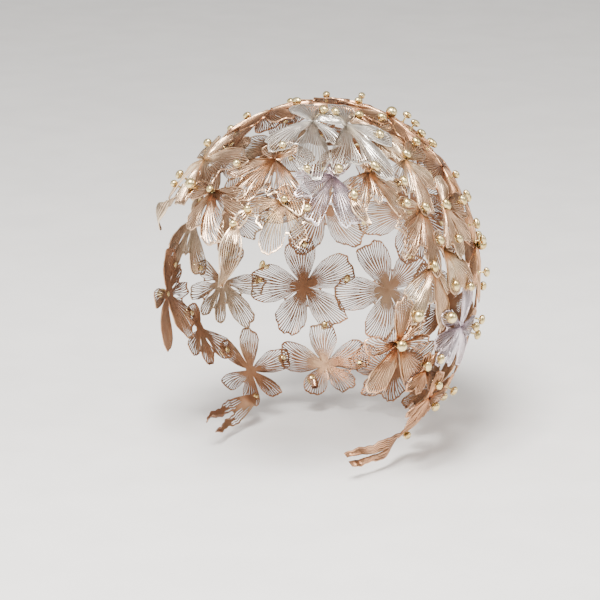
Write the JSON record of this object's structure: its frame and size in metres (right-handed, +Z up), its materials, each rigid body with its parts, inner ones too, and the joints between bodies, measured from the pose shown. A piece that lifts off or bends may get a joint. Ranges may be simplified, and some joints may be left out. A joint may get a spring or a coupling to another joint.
{
  "type": "bridal floral cap",
  "caption": "Open cap of overlapping pierced metal flowers riveted with gold beads, with a swinging forehead pendant, a temple pendant and nape sprays.",
  "frame": {"origin": "centre of the head form that the cap is shaped over", "axes": "+Z up through the crown, the wearer's face looks along -Y, the wearer's left is +X"},
  "size_m": [0.1687, 0.1983, 0.1778],
  "materials": {
    "rose_gold_sheet": "polished rose gold, lightly oxidised in the slits",
    "copper_sheet": "warm copper, oxidised",
    "silvered_sheet": "bright silvered",
    "lilac_sheet": "pale silvered rose with a lilac cast",
    "gold_bead": "polished pale gold",
    "loop_wire": "plain"
  },
  "bodies": {
    "cap": {"right_temple_flower": "rose_gold_sheet", "brow_flower": "rose_gold_sheet", "hairline_flower": "rose_gold_sheet", "forehead_flower": "rose_gold_sheet", "left_brow_flower": "lilac_sheet", "left_temple_flower": "rose_gold_sheet", "crown_front_flower": "silvered_sheet", "crown_left_flower": "silvered_sheet", "crown_side_flower": "rose_gold_sheet", "crown_top_flower": "copper_sheet", "crown_right_flower": "copper_sheet", "crown_right_side_flower": "copper_sheet", "left_upper_flower": "rose_gold_sheet", "left_ear_top_flower": "rose_gold_sheet", "left_rear_flower": "rose_gold_sheet", "left_ear_front_flower": "rose_gold_sheet", "left_ear_rear_flower": "rose_gold_sheet", "left_ear_flower": "copper_sheet", "left_mastoid_flower": "lilac_sheet", "left_lobe_flower": "copper_sheet", "left_jaw_flower": "copper_sheet", "left_nape_flower": "copper_sheet", "right_upper_flower": "rose_gold_sheet", "right_side_flower": "rose_gold_sheet", "right_ear_front_flower": "rose_gold_sheet", "right_ear_rear_flower": "rose_gold_sheet", "right_ear_flower": "copper_sheet", "right_mastoid_flower": "rose_gold_sheet", "right_lobe_flower": "copper_sheet", "right_nape_flower": "copper_sheet", "back_top_left_flower": "copper_sheet", "back_top_right_flower": "copper_sheet", "back_upper_left_flower": "copper_sheet", "back_upper_centre_flower": "copper_sheet", "back_upper_right_flower": "copper_sheet", "back_right_side_flower": "rose_gold_sheet", "back_middle_left_flower": "copper_sheet", "back_middle_centre_flower": "copper_sheet", "back_middle_right_flower": "copper_sheet", "back_middle_far_flower": "copper_sheet", "back_lower_left_flower": "copper_sheet", "back_lower_centre_flower": "copper_sheet", "back_lower_right_flower": "copper_sheet", "back_lower_far_flower": "copper_sheet", "nape_left_flower": "copper_sheet", "nape_centre_flower": "copper_sheet", "nape_right_flower": "copper_sheet", "brow_sprig": "rose_gold_sheet", "left_temple_leaf": "rose_gold_sheet", "centre_beads": "gold_bead", "joint_beads": "gold_bead", "bud_stamens": "gold_bead", "hair_loops": "loop_wire"},
    "forehead_pendant": {"forehead_pendant": "rose_gold_sheet"},
    "right_temple_pendant": {"right_temple_pendant": "rose_gold_sheet"},
    "left_nape_spray": {"left_nape_spray": "copper_sheet"},
    "right_nape_spray": {"right_nape_spray": "copper_sheet"}
  },
  "joints": [
    {"name": "forehead_pendant_swing", "type": "hinge", "parent": "cap", "child": "forehead_pendant", "pos_m": [0.01057, -0.08268, 0.05278], "axis": [0.1629, -0.8165, 0.554], "range_deg": [-22, 22]},
    {"name": "right_temple_pendant_swing", "type": "hinge", "parent": "cap", "child": "right_temple_pendant", "pos_m": [-0.0479, -0.05056, 0.05539], "axis": [-0.6989, -0.4655, 0.543], "range_deg": [-16, 16]},
    {"name": "left_nape_spray_turn", "type": "hinge", "parent": "cap", "child": "left_nape_spray", "pos_m": [0.04774, 0.01167, -0.07323], "axis": [0.6924, 0.1068, -0.7135], "range_deg": [-12, 12]},
    {"name": "right_nape_spray_turn", "type": "hinge", "parent": "cap", "child": "right_nape_spray", "pos_m": [-0.04774, 0.01167, -0.07323], "axis": [-0.6924, 0.1068, -0.7135], "range_deg": [-12, 12]}
  ]
}
